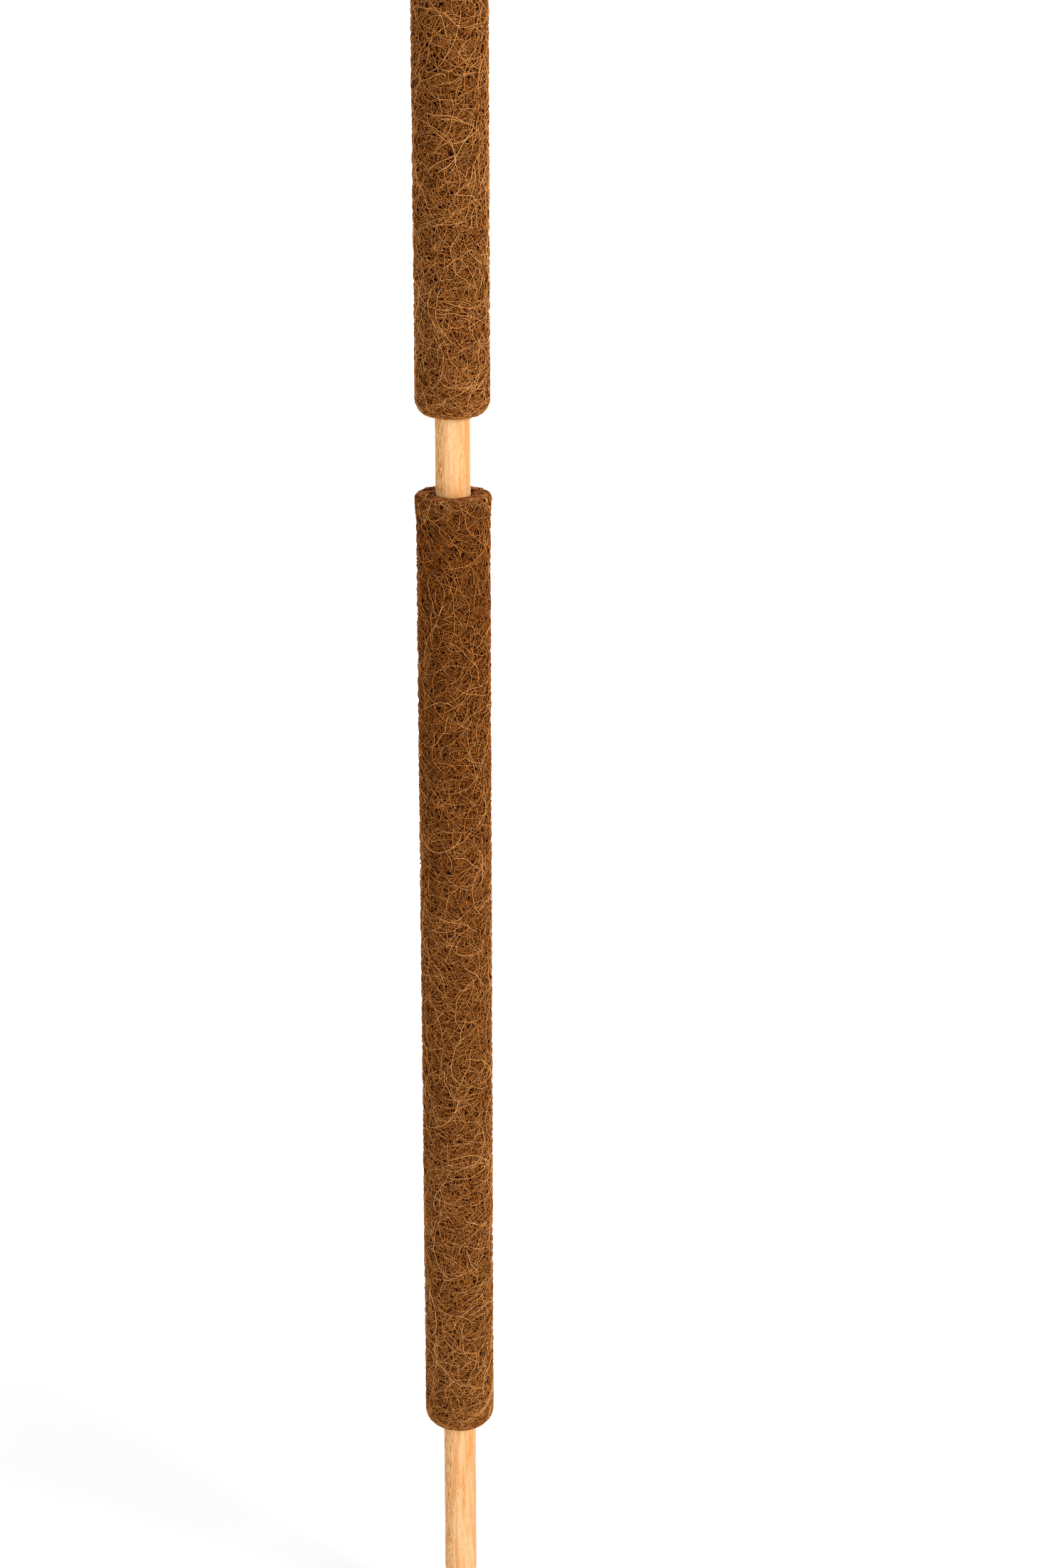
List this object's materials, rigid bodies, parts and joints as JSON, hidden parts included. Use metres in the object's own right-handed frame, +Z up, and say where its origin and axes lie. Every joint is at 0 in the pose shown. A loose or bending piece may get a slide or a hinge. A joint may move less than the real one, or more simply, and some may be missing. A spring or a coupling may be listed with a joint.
{
  "type": "moss pole",
  "caption": "Coir-wrapped plant pole in stacking sections; the upper section's pointed wooden stake slides into the open socket of the lower one, whose own stake goes into soil.",
  "frame": {"origin": "on the pole's axis at the soil line, in the plane of the lower coir sleeve's foot", "axes": "+Z up along the pole, from the lower stake's point towards the upper section's open socket"},
  "size_m": [0.0374, 0.0374, 1.1833],
  "materials": {
    "coir": "felted coconut fibre, dry and dull",
    "wood": "planed bare wood",
    "tube": "dull dark plastic",
    "nail": "bright drawn wire"
  },
  "bodies": {
    "lower_section": {"lower_stake": "wood", "lower_core_tube": "tube", "lower_coir_sleeve": "coir", "lower_stake_nail_1": "nail", "lower_stake_nail_2": "nail"},
    "upper_section": {"upper_stake": "wood", "upper_core_tube": "tube", "upper_coir_sleeve": "coir", "upper_stake_nail_1": "nail", "upper_stake_nail_2": "nail"}
  },
  "joints": [
    {"name": "section_slide", "type": "slide", "parent": "lower_section", "child": "upper_section", "axis": [0, 0, 1], "range_m": [-0.038, 0.089]}
  ]
}
